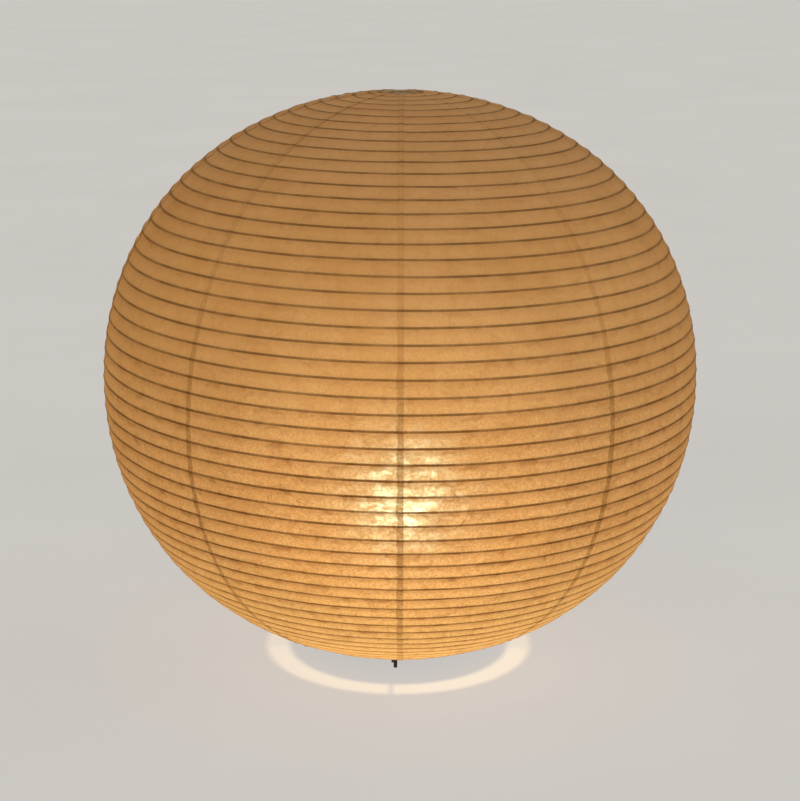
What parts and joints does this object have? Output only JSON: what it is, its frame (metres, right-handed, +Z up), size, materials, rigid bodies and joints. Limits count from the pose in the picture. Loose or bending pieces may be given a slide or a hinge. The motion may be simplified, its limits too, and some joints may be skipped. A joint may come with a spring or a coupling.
{
  "type": "paper table lamp",
  "caption": "Globe table lamp of lapped paper gores on a spiral bamboo rib, held open by a wire stretcher over a plate with a screw bulb, on bent wire legs.",
  "frame": {"origin": "on the table, under the middle of the globe", "axes": "+Z up, the side seen in the picture towards -Y, +X to its right"},
  "size_m": [0.45, 0.4504, 0.4353],
  "materials": {
    "paper": "mulberry paper, fibrous",
    "bamboo": "split bamboo",
    "ring_wire": "drawn wire",
    "leg_wire": "dark enamel",
    "plate_paint": "dark enamel",
    "foot_rubber": "soft cap",
    "zinc": "zinc plated",
    "holder_plastic": "moulded",
    "bush_plastic": "moulded",
    "porcelain": "glazed",
    "brass": "pressed",
    "cap_metal": "rolled thread",
    "black_glass": "fused glass",
    "bulb_glass": "frosted, lit",
    "clear_glass": "clear",
    "tungsten": "drawn wire"
  },
  "bodies": {
    "base": {"base_plate": "plate_paint", "leg_wire_front": "leg_wire", "leg_wire_right": "leg_wire", "leg_wire_left": "leg_wire", "foot_cap_front": "foot_rubber", "foot_cap_right": "foot_rubber", "foot_cap_left": "foot_rubber", "stretcher_socket_left": "leg_wire", "stretcher_socket_right": "leg_wire", "nipple": "zinc", "cord_bush": "bush_plastic", "lock_nut": "zinc", "holder_cup": "holder_plastic", "holder_sleeve": "holder_plastic", "holder_core": "porcelain", "terminal_screws": "brass", "screw_shell": "brass", "centre_contact": "brass"},
    "stretcher": {"stretcher_wire": "ring_wire"},
    "shade": {"paper_gore_1": "paper", "paper_gore_2": "paper", "paper_gore_3": "paper", "paper_gore_4": "paper", "paper_gore_5": "paper", "paper_gore_6": "paper", "paper_gore_7": "paper", "paper_gore_8": "paper", "paper_gore_9": "paper", "bamboo_rib": "bamboo", "top_ring": "ring_wire", "top_hem": "paper"},
    "shade_foot": {"bottom_ring": "ring_wire", "bottom_hem": "paper"},
    "bulb_end": {"bulb_eyelet": "brass", "bulb_insulator": "black_glass"},
    "bulb": {"bulb_screw_cap": "cap_metal", "bulb_glass": "bulb_glass", "bulb_stem": "clear_glass", "bulb_filament": "tungsten"}
  },
  "joints": [
    {"name": "stretcher_lift", "type": "slide", "parent": "base", "child": "stretcher", "axis": [0, 0, 1], "range_m": [0, 0.025]},
    {"name": "shade_lift", "type": "slide", "parent": "stretcher", "child": "shade", "axis": [0, 0, 1], "range_m": [0, 0.45]},
    {"name": "shade_gather", "type": "slide", "parent": "shade", "child": "shade_foot", "axis": [0, 0, 1], "range_m": [0, 0.33], "deforming": ["paper_gore_1", "paper_gore_2", "paper_gore_3", "paper_gore_4", "paper_gore_5", "paper_gore_6", "paper_gore_7", "paper_gore_8", "paper_gore_9", "bamboo_rib"]},
    {"name": "bulb_rise", "type": "slide", "parent": "base", "child": "bulb_end", "axis": [0, 0, 1], "range_m": [0, 0.01825]},
    {"name": "bulb_turn", "type": "hinge", "parent": "bulb_end", "child": "bulb", "pos_m": [0, 0, 0.128], "axis": [0, 0, 1], "range_deg": [0, 1800]}
  ],
  "couplings": [
    {"joint": "bulb_rise", "follows": "bulb_turn", "m_per_rad": 0.00057773}
  ]
}
